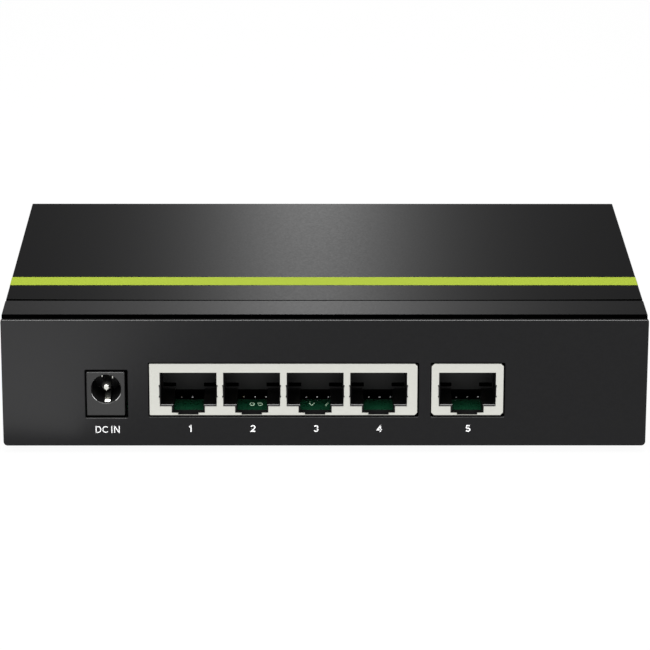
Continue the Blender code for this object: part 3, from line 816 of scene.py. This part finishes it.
def base_pan():
    low, high = PAN_LOW, PAN_HIGH
    flange_top = up(PAN_FLANGE_TOP)
    lip_top = up(PAN_LIP_TOP)
    wall_y = deep(PAN_WALL_DEEP)
    outline = rectangle(low.x, high.x, low.y, high.y, PAN_CORNER)
    holes = [keyhole(side * KEYHOLE_X, KEYHOLE_Y) for side in (-1, 1)]
    pan = plate("base", outline, rounded(BASE, up(1.0), PAN_EDGE), "Z", holes)
    thick = SHEET_T
    inset_x = PAN_LIP_INSET
    walls = (
        ((low.x, wall_y, BASE), (low.x + thick, high.y, flange_top)),
        ((high.x - thick, wall_y, BASE), (high.x, high.y, flange_top)),
        ((low.x, high.y - thick, BASE), (high.x, high.y, lip_top)),
        ((low.x + inset_x, low.y, BASE), (high.x - inset_x, low.y + thick, lip_top)),
    )
    join(pan, *[box("wall", *corners, PAN_EDGE) for corners in walls])
    holes = []
    for side, y, z in screw_places():
        reach = sorted((side * (high.x - 2 * thick), side * (high.x + PAST)))
        profile = [(PAN_HOLE_R, place) for place in reach]
        holes.append(turned("hole", profile, "X", (0, y, z)))
    cut(pan, *holes)
    show(smooth(pan), PAINT, replaces=["base_pan"])


def feet():
    for i in range(1, 5):
        low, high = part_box(f"foot_{i}")
        x, y = middle(f"foot_{i}").xy
        radius = (high.x - low.x) / 2
        profile = [
            (0.5 * radius, 0.35 * MM),
            (0.55 * radius, 0.05 * MM),
            (0.6 * radius, 0.0),
            (0.82 * radius, 0.0),
            (0.93 * radius, 0.12 * MM),
            (radius, 0.6 * MM),
            (radius, high.z - 0.1 * MM),
            (radius - 0.1 * MM, high.z),
        ]
        foot = turned(f"rubber_foot_{i}", profile, "Z", (x, y, 0))
        show(smooth(foot), RUBBER, replaces=[f"foot_{i}"])


def cross_recess(y, z, face, way):
    """A cutter for the tapered cross in a screw's head. way points out of the head along X."""
    long, narrow = 1.3 * MM, 0.32 * MM
    quarter = [(narrow, narrow), (narrow, long), (-narrow, long), (-narrow, narrow)]
    outline = []
    for turn in range(4):
        for a, b in quarter[:-1]:
            for _ in range(turn):
                a, b = -b, a
            outline.append((y + a, z + b))
    steps = [(0, face + way * PAST), (0, face), (0.24 * MM, face - way * 1.1 * MM)]
    return plate("recess", outline, steps, "X")


def case_screws():
    face = COVER_HIGH.x
    for i, (side, y, z) in enumerate(screw_places(), 1):
        profile = [
            (0.9 * MM, side * (face - 4.9 * MM)),
            (1.2 * MM, side * (face - 4.6 * MM)),
            (1.2 * MM, side * (face - 1.2 * MM)),
            (SCREW_R - SCREW_DOME, side * (face - SCREW_DOME)),
            (SCREW_R, side * (face - 0.02 * MM)),
            (0.85 * SCREW_R, side * (face + 0.06 * MM)),
            (0.5 * SCREW_R, side * (face + SCREW_DOME)),
        ]
        screw = turned(f"cross_screw_{i}", profile, "X", (0, y, z))
        cut(screw, cross_recess(y, z, side * (face + SCREW_DOME), side))
        show(smooth(screw, 30), BLACK_OXIDE, replaces=[f"case_screw_{i}"])


# Ports


def mirrored(x, left):
    """A closed outline, as (x, height), from its left half in millimetres from its middle."""
    right = [(-a, b) for a, b in reversed(left)]
    return [(x + a * MM, up(b)) for a, b in left + right]


def mouth_outline(x):
    """A port's mouth in the shield: a plug's outline with a nick at each end of the wider part."""
    left = [(-MOUTH_HALF, MOUTH_TOP)]
    outside = (MOUTH_HALF, MOUTH_WIDE, MOUTH_HALF)
    for height, above, below in zip(NICK_HEIGHTS, outside, outside[1:]):
        high, low = height + NICK_H / 2, height - NICK_H / 2
        left += [(-above, high), (-NICK_HALF, high), (-NICK_HALF, low), (-below, low)]
    left += [
        (-MOUTH_HALF, LEDGE_Z),
        (-LATCH_HALF, LEDGE_Z),
        (-LATCH_HALF, LATCH_Z),
        (-TONGUE_HALF, LATCH_Z),
        (-TONGUE_HALF, TONGUE_Z),
    ]
    return mirrored(x, left)


def shield_box(name):
    """Opposite corners of a shield."""
    low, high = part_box(name + "_shield")
    left, right = SHIELD_TRIM[name]
    return low + Vector((left, 0, SHIELD_LIFT)), high + Vector((right, 0, SHIELD_RISE))


def shield(name, centres):
    """A folded sheet cap: a pierced front, a top and two sides."""
    low, high = shield_box(name)
    corners = SHIELD_CORNERS[name]
    corner = max(corners)
    outline = cornered(low.x, high.x, low.z, high.z, corners, 1)
    steps = rounded(low.y, low.y + SHIELD_T, SHIELD_EDGE, 2)
    mouths = [mouth_outline(x + MOUTH_SHIFT[name]) for x in centres]
    cap = plate(name + "_cap", outline, steps, "Y", mouths)
    back = low.y + 0.5 * SHIELD_T
    walls = (
        ((low.x, back, low.z + corner), (low.x + SHIELD_T, high.y, high.z - corner)),
        ((high.x - SHIELD_T, back, low.z + corner), (high.x, high.y, high.z - corner)),
        ((low.x + corner, back, high.z - SHIELD_T), (high.x - corner, high.y, high.z)),
    )
    join(cap, *[box("wall", *ends) for ends in walls])
    show(smooth(cap), NICKEL, replaces=[name + "_shield"])


def housing(name, centres):
    """A moulded block with a plug cavity, a latch channel and a tunnel to the pins behind it."""
    low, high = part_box(name + "_housing")
    front = deep(HOUSING_FRONT)
    body = box(name + "_block", (low.x, front, up(HOUSING_BOTTOM)), high)
    wall = deep(CAVITY_DEEP)
    key_from, key_to, key_low, key_high = KEY_SLOT
    cavities, recesses = [], []
    for x in centres:
        half = CAVITY_HALF
        left = [(-half, MOUTH_TOP), (-half, FLOOR_Z), (-CHANNEL_HALF, FLOOR_Z), (-CHANNEL_HALF, 5)]
        cavities.append(punch(mirrored(x, left), front, wall, "Y", HOUSING_CHAMFER))
        channel = CHANNEL_HALF * MM
        recesses.append(
            (
                (x - channel, wall - PAST, up(TUNNEL_Z[0])),
                (x + channel, deep(TUNNEL_DEEP), up(TUNNEL_Z[1])),
            )
        )
        roof = ROOF_HALF * MM
        recesses.append(
            ((x - roof, deep(ROOF_FROM), up(ROOF_SLOT_FOOT)), (x + roof, wall, up(ROOF_Z)))
        )
        for side in (-1, 1):
            sides = sorted((x + side * key_from * MM, x + side * key_to * MM))
            recesses.append(
                (
                    (sides[0], wall - PAST, up(key_low)),
                    (sides[1], deep(KEY_SLOT_DEEP), up(key_high)),
                )
            )
    cut(body, *cavities, *[box("recess", *corners) for corners in recesses])
    show(smooth(body), JACK_PLASTIC, replaces=[name + "_housing"])
    # The chamfers that lean back from the port face get a painted highlight.
    repaint(body, LIP_HIGHLIGHT_PAINT, slopes)
    # Everything deeper than the back wall of the cavity gets painted shade.
    repaint(body, SHADOW_BLACK, lambda part: wall + 0.2 * MM < part.center.y < high.y - MM)


def contact_wires():
    """Eight sprung wires and the bar that holds their roots, for each port."""
    root_deep, root_z = WIRE_ROOT
    path = [(-0.25, 0.12), (0.0, 0.02), (0.4, -0.12)]
    path += [(0.4 + 0.85 * i, -0.12 - 0.36 * i + 0.008 * i * (8 - i)) for i in range(1, 9)]
    path += [(7.65, -3.12), (8.05, -3.05), (8.35, -2.85)]
    places = [(deep(root_deep + y), up(root_z + z)) for y, z in path]
    outline = strip(places, WIRE_T)
    for i, port_x in enumerate(PORT_X, 1):
        bm = bmesh.new()
        for wire in range(WIRE_COUNT):
            x = port_x + (wire - (WIRE_COUNT - 1) / 2) * WIRE_PITCH
            loft(bm, outline, rounded(x - WIRE_W / 2, x + WIRE_W / 2, WIRE_EDGE, 2), "X")
        half = (WIRE_COUNT - 1) / 2 * WIRE_PITCH + WIRE_W / 2 + 0.1 * MM
        bar = [(ROOT_BAR_R, port_x - half), (ROOT_BAR_R, port_x + half)]
        spin(bm, bar, "X", (0, deep(root_deep), up(root_z)), 16)
        wires = as_object(f"contact_wires_{i}", bm)
        body = f"port_{i}_contacts"
        show(smooth(wires), GOLD, body, [f"contact_set_{i}"])


def port_pins():
    """The pin ends that stand up through the tunnel's floor behind each latch channel."""
    for i, port_x in enumerate(PORT_X, 1):
        bm = bmesh.new()
        for offset in PIN_OFFSETS[: PIN_COUNTS[i - 1]]:
            profile = [
                (PIN_R, up(7.0)),
                (PIN_R, up(TUNNEL_Z[0] + 0.2)),
                (0.6 * PIN_R, up(TUNNEL_Z[0] + 0.3)),
            ]
            spin(bm, profile, "Z", (port_x + offset * MM, deep(PIN_DEEP), 0), 20)
        pins = as_object(f"port_pins_{i}", bm)
        show(smooth(pins, 50), TIN)


# Power inlet


def inlet_body():
    left, right = DC_SIDES
    flange_low, flange_deep = DC_FLANGE
    block_deep, block_low, block_edge = DC_BLOCK
    low, high = (left, deep(block_deep), up(block_low)), (right, deep(DC_BACK), up(DC_TOP))
    body = box("inlet_body", low, high, block_edge)
    outline = rectangle(left, right, up(flange_low), up(DC_TOP), 1.2 * DC_EDGE, 3)
    front = plate("front", outline, rounded(deep(DC_FRONT), deep(flange_deep), DC_EDGE, 3), "Y")
    join(body, front)
    bore = [
        (DC_BORE_R + DC_RIM, deep(DC_FRONT) - PAST),
        (DC_BORE_R + DC_RIM, deep(DC_FRONT)),
        (DC_BORE_R, deep(DC_FRONT) + DC_RIM),
        (DC_BORE_R, deep(DC_BORE_DEEP)),
    ]
    centre = (DC_X, 0, DC_Z)
    behind = deep(DC_BACK) + PAST
    pin_hole = [(DC_PIN_HOLE_R, deep(DC_BORE_DEEP - 2)), (DC_PIN_HOLE_R, behind)]
    slot = box(
        "slot",
        (DC_LEAF_X - DC_SLOT_HALF, deep(DC_SLOT_FROM), up(DC_SLOT_Z[0])),
        (DC_LEAF_X + DC_SLOT_HALF, behind, up(DC_SLOT_Z[1])),
    )
    bores = [turned("bore", bore, "Y", centre, 96), turned("pin_hole", pin_hole, "Y", centre)]
    cut(body, *bores, slot)
    show(smooth(body), INLET_PLASTIC, replaces=["dc_jack_body"])
    # The inside of the bore is painted darker than the moulding: painted shade.
    repaint(body, JACK_PLASTIC, lambda part: near_bore(part) and part.normal.y > -0.3)
    # The two lower arcs of the rim get a painted highlight.
    repaint(body, LIP_HIGHLIGHT_PAINT, on_lower_rim)


def near_bore(part):
    return math.hypot(part.center.x - DC_X, part.center.z - DC_Z) < DC_BORE_R + DC_RIM


def on_lower_rim(part):
    """Whether a face is on one of the two arcs of the bore's rim that catch the light, where a
    highlight is painted.
    """
    low, high = DC_RIM_LIT
    return near_bore(part) and low < part.normal.z < high and slopes(part)


def inlet_pin():
    tip = deep(DC_PIN_TIP)
    profile = [
        (0.4 * MM, tip),
        (0.52 * MM, tip + 0.03 * MM),
        (0.68 * MM, tip + 0.25 * MM),
        (0.86 * MM, tip + 0.6 * MM),
        (1.0 * MM, tip + 1.2 * MM),
        (1.0 * MM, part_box("dc_jack_pin")[1].y),
    ]
    pin = turned("inlet_pin", profile, "Y", (DC_X, 0, DC_Z))
    show(smooth(pin, 50), NICKEL, replaces=["dc_jack_pin"])


def inlet_prongs():
    """The ends of two fixed contacts that show under the top of the bore."""
    bm = bmesh.new()
    for offset, tip in PRONG_PLACES:
        profile = [(PRONG_R, up(16.7)), (PRONG_R, up(tip + 0.1)), (0.07 * MM, up(tip))]
        spin(bm, profile, "Z", (DC_X + offset * MM, deep(PRONG_DEEP), 0), 16)
    show(smooth(as_object("inlet_prongs", bm), 50), NICKEL)


def inlet_leaf():
    """The sleeve contact. It rises from its root to a crest and curls down at its tip."""
    root_deep, root_z = DC_LEAF_ROOT
    path = [(1.2, 0.0), (0.3, 0.0), (-0.4, 0.08)]
    path += [(-0.4 - 0.95 * i, 0.08 + 0.24 * i) for i in range(1, 7)]
    path += [(-6.9, 1.68), (-7.8, 1.75), (-8.7, 1.63), (-9.6, 1.36), (-10.1, 1.14)]
    path += [(-10.4, 0.9), (-10.52, 0.55)]
    places = [(deep(root_deep + y), up(root_z + z - 0.15)) for y, z in path]
    steps = rounded(DC_LEAF_X - DC_LEAF_HALF, DC_LEAF_X + DC_LEAF_HALF, 0.1 * MM, 2)
    leaf = plate("inlet_leaf", strip(places, DC_LEAF_T), steps, "X")
    show(smooth(leaf, 50), NICKEL, "dc_sleeve_contact", ["dc_jack_spring"])


# Board


def board():
    low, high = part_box("main_board")
    holes = []
    for i in range(1, 5):
        post = middle(f"standoff_{i}")
        holes.append(arc(post.xy, 1.6 * MM, 0, 345, 23))
    outline = rectangle(low.x, high.x, low.y, high.y, 0.5 * MM)
    obj = plate("circuit_board", outline, [(0, low.z), (0, high.z)], "Z", holes)
    show(obj, BOARD, replaces=["main_board"])
    # The board's edges get painted shade.
    repaint(obj, BOARD_EDGE_SHADE, lambda part: abs(part.normal.z) < 0.5)


def board_pads():
    """Ring pads behind the second latch channel and slanting marks behind the third."""
    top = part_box("main_board")[1].z
    steps = [(0, top - 0.02 * MM), (0, top + INK_T)]
    bm = bmesh.new()
    middle_y = deep(PAD_DEEP)
    for offset in PAD_OFFSETS:
        centre = (PORT_X[1] + offset * MM, middle_y)
        ring, hole = (
            [
                (x, middle_y + (y - middle_y) * PAD_STRETCH)
                for x, y in arc(centre, radius, 0, 345, 23)
            ]
            for radius in PAD_RADII
        )
        loft(bm, ring, steps, "Z", [hole])
    for offset, slant in BARS:
        x = PORT_X[2] + offset * MM
        ends = [(x - BAR_HALF, deep(BAR_DEEP - slant)), (x + BAR_HALF, deep(BAR_DEEP + slant))]
        loft(bm, strip(ends, BAR_W), steps, "Z")
    pads = as_object("board_pads", bm)
    show(pads, SILK_INK)


# Printed marks


GLYPHS = {  # each glyph's advance and strokes, for a height of 1
    "1": (0.52, [[(0.32, 0.0), (0.32, 1.0)], [(0.32, 0.9), (0.05, 0.72)]]),
    "2": (0.72, [arc((0.36, 0.68), 0.235, 165, -35, 10, 1.15) + [(0.12, 0.1), (0.68, 0.085)]]),
    "3": (
        0.72,
        [arc((0.34, 0.71), 0.2, 160, -90, 10, 1.2), arc((0.34, 0.3), 0.215, 90, -160, 10, 1.2)],
    ),
    "4": (0.74, [[(0.52, 0.0), (0.52, 1.0)], [(0.52, 0.93), (0.1, 0.3), (0.72, 0.3)]]),
    "5": (
        0.72,
        [[(0.62, 0.915), (0.2, 0.915), (0.15, 0.5)], arc((0.36, 0.32), 0.235, 140, -155, 10, 1.15)],
    ),
    "D": (
        0.92,
        [[(0.085, 0.0), (0.085, 1.0)], [(0.1, 0.915), (0.36, 0.915)], [(0.1, 0.085), (0.36, 0.085)]]
        + [arc((0.36, 0.5), 0.415, 90, -90, 14, 0.88)],
    ),
    "C": (1.0, [arc((0.47, 0.5), 0.415, 42, 318, 16, 0.95)]),
    "I": (0.42, [[(0.12, 0.0), (0.12, 1.0)]]),
    "N": (
        0.81,
        [[(0.085, 0.0), (0.085, 1.0)], [(0.12, 0.95), (0.69, 0.05)]]
        + [[(0.725, 0.0), (0.725, 1.0)]],
    ),
    " ": (0.2, []),
    "power": (0.9, [arc((0.45, 0.45), 0.36, 130, 410, 16), [(0.45, 0.45), (0.45, 1.0)]]),
}
STROKE = 0.17  # of a glyph's height
FINE_STROKE = 0.135


def lettering(name, glyphs, x, z, height, y, way, material, stroke=STROKE):
    """Raised ink on an upright face. way is -1 on the port face and 1 on the lamp face."""
    width = sum(GLYPHS[glyph][0] for glyph in glyphs)
    bm = bmesh.new()
    along = -width / 2
    for glyph in glyphs:
        advance, strokes = GLYPHS[glyph]
        for path in strokes:
            places = [(x - way * (along + a) * height, z + b * height) for a, b in path]
            loft(bm, strip(places, stroke * height), [(0, y), (0, y + way * INK_T)], "Y")
        along += advance
    show(as_object(name, bm), material)


def port_face_marks():
    x, height = INLET_MARK
    style = (MARK_H, FACE_Y, -1, PALE_INK)
    lettering("inlet_mark", list("DC IN"), x, up(height), *style, FINE_STROKE)
    for i, x in enumerate(PORT_MARK_X, 1):
        lettering(f"port_mark_{i}", [str(i)], x * MM, up(PORT_MARK_Z), *style)


# Lamp face


def lamp_bezel():
    low, high = BEZEL_LOW, BEZEL_HIGH
    outline = rectangle(low.x, high.x, low.z, high.z, 0.6 * MM)
    body = plate("lamp_bezel", outline, rounded(low.y, high.y, 0.4 * MM), "Y")
    label = label_outline(0)
    floor = high.y - LABEL_DEEP
    windows = [punch(window(x, 0.25 * MM), floor, low.y - PAST, "Y", 0) for x in LED_X]
    cut(body, punch(label, high.y, floor, "Y"), *windows)
    show(smooth(body), BEZEL_PLASTIC, replaces=["front_panel"])


def label_outline(shrink):
    left, right = LED_X[-1] - LABEL_SIDE, LED_X[0] + LABEL_SIDE
    return rectangle(
        left + shrink, right - shrink, up(LABEL_LOW) + shrink, up(LABEL_HIGH) - shrink, 0.9 * MM
    )


def window(x, clear):
    low, high = (up(height) for height in WINDOW_Z)
    reach = WINDOW_HALF + clear
    return rectangle(x - reach, x + reach, low - clear, high + clear, 0.35 * MM)


def lamp_label():
    """A smoked insert in the bezel's recess, with a window and a mark for each lamp."""
    face = BEZEL_HIGH.y - 0.1 * MM
    back = BEZEL_HIGH.y - LABEL_DEEP + 0.02 * MM
    holes = [window(x, 0.05 * MM) for x in LED_X]
    insert = plate("lamp_label", label_outline(0.12 * MM), [(0, back), (0, face)], "Y", holes)
    show(smooth(insert), SMOKED)
    marks = ["power", "1", "2", "3", "4", "5"]
    for mark, x in zip(marks, LED_X):
        style = (LAMP_MARK_H, face, 1, WHITE_INK)
        lettering(f"lamp_mark_{mark}", [mark], x, up(LAMP_MARK_Z), *style)


def lamp_lenses():
    """A clear comb: a bar above the lamps with a round-edged finger to each window."""
    low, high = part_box("light_pipe")
    bar_depth = 1.6 * MM
    comb = box("lamp_lenses", low, (high.x, low.y + bar_depth, high.z), 0.1 * MM)
    fingers = []
    for x in LED_X:
        steps = rounded(low.y + 0.5 * bar_depth, high.y, 0.05 * MM, 3, 0.3 * MM)
        fingers.append(plate("finger", window(x, 0), steps, "Y"))
    join(comb, *fingers)
    show(smooth(comb), LENS, replaces=["light_pipe"])


# CAD nodes that are shown as they are


def finish_nodes():
    finishes = {
        "transformer_": EPOXY,
        "inductor_": EPOXY,
        "switch_chip": EPOXY,
        "memory_chip": EPOXY,
        "regulator_chip": EPOXY,
        "heatsink": ALUMINIUM,
        "crystal": CAN,
        "capacitor_": CAN,
        "led_": LED_BODY,
        "standoff_": ZINC,
        "board_screw_": ZINC,
    }
    for name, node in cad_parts.items():
        for start, material in finishes.items():
            if name.startswith(start):
                for slot in node.material_slots:
                    slot.material = material


# Staging


CAMERA_PLACE = Vector((-4.84, -762.55, 257.9)) * MM
CAMERA_TURNS = (("Z", -0.39), ("X", 72.31), ("Z", 0.12))  # heading, tilt and roll in degrees
CAMERA_LENS = 190.2
CARD_TURN = 10  # degrees


def add_camera():
    camera = bpy.data.cameras.new("camera")
    camera.sensor_width = 36.0
    camera.lens = CAMERA_LENS
    camera.clip_end = 20.0
    obj = bpy.data.objects.new("camera", camera)
    turn = Matrix()
    for axis, angle in CAMERA_TURNS:
        turn = turn @ Matrix.Rotation(math.radians(angle), 4, axis)
    obj.matrix_world = Matrix.Translation(CAMERA_PLACE) @ turn
    bpy.context.scene.collection.objects.link(obj)
    bpy.context.scene.camera = obj


def add_area_light(name, place, target, size, radiance):
    """A soft rectangular light that no camera sees. radiance is what a mirror would show of it."""
    light = bpy.data.lights.new(name, "AREA")
    light.shape = "RECTANGLE"
    light.size, light.size_y = size
    light.energy = radiance * math.pi * size[0] * size[1]
    obj = bpy.data.objects.new(name, light)
    obj.location = place
    obj.rotation_euler = (Vector(target) - Vector(place)).to_track_quat("-Z", "Y").to_euler()
    obj.visible_camera = False
    bpy.context.scene.collection.objects.link(obj)
    return obj


def limit(light, *pieces):
    """Lets a light reach only these pieces."""
    group = bpy.data.collections.new(light.name + "_receivers")
    for piece in pieces:
        group.objects.link(bpy.data.objects[piece])
    light.light_linking.receiver_collection = group


def add_lights():
    add_area_light("overhead", (0.0, -0.15, 0.8), (0, 0, 0), (0.7, 0.5), 4.2)
    add_area_light("behind", (0.0, 1.2, 0.39), (0, 0, 0.03), (0.03, 0.3), 7.8)
    add_area_light("front_left", (-0.6, -0.8, 0.45), (-0.03, -0.05, 0.015), (0.5, 0.4), 3.5)
    front = add_area_light("front_top", (0.0, -0.6, 0.6), (0, -0.05, 0.02), (1.2, 0.35), 12.0)
    inlet = ("inlet_body", "inlet_pin", "inlet_prongs", "inlet_leaf", "inlet_mark")
    ports = [f"port_{part}_{i}" for part in ("pins", "mark") for i in range(1, 6)]
    limit(front, "port_face", "circuit_board", "board_pads", *inlet, *ports)
    fill = add_area_light("port_fill", (0.0, -1.0, 0.2), (0, -0.05, 0.015), (0.8, 0.25), 2.7)
    wires = [f"contact_wires_{i}" for i in range(1, 6)]
    limit(fill, "port_gang_block", "port_single_block", *wires)
    rim = (-0.048, -0.045, 0.015)
    for side in (-1, 1):
        place = (0.8 * side - 0.048, -0.2, 0.4)
        glint = add_area_light(f"inlet_{side}", place, rim, (0.3, 0.3), 12.0)
        limit(glint, "inlet_body")
    place = (-0.125, -0.144, 0.001)
    card = add_area_light("floor_card", place, (place[0], place[1], 1), (0.168, 0.15), 2.1)
    card.rotation_euler.z += math.radians(CARD_TURN)
    limit(card, "port_face")
    wide = add_area_light("behind_wide", (-0.03, 1.2, 0.39), (0, 0, 0.03), (0.28, 0.3), 0.34)
    left = add_area_light("behind_left", (-0.4, 1.2, 0.39), (0, 0, 0.03), (0.45, 0.3), 0.14)
    for light in (wide, left):
        limit(light, "band")


def add_world():
    world = bpy.data.worlds.new("studio")
    bpy.context.scene.world = world
    world.use_nodes = True
    nodes, links = world.node_tree.nodes, world.node_tree.links
    rays = nodes.new("ShaderNodeLightPath")
    mix = nodes.new("ShaderNodeMixRGB")
    mix.inputs["Color1"].default_value = (0.095, 0.095, 0.095, 1)
    mix.inputs["Color2"].default_value = (1, 1, 1, 1)
    links.new(rays.outputs["Is Camera Ray"], mix.inputs["Fac"])
    links.new(mix.outputs["Color"], nodes["Background"].inputs["Color"])


def add_floor():
    obj = turned("floor", [(4.0, -2 * MM), (4.0, 0)], "Z", (0, 0, 0), 96)
    obj.data.materials.append(FLOOR)


def main():
    add_camera()
    add_world()
    add_floor()
    port_face()
    band()
    cover()
    painted_shade_liner()
    stripe()
    base_pan()
    feet()
    case_screws()
    for name, centres in PORT_GROUPS.items():
        shield(name, centres)
        housing(name, centres)
    contact_wires()
    port_pins()
    inlet_body()
    inlet_pin()
    inlet_prongs()
    inlet_leaf()
    board()
    board_pads()
    port_face_marks()
    lamp_bezel()
    lamp_label()
    lamp_lenses()
    finish_nodes()
    add_lights()
    bpy.context.scene.view_settings.view_transform = "Standard"


main()
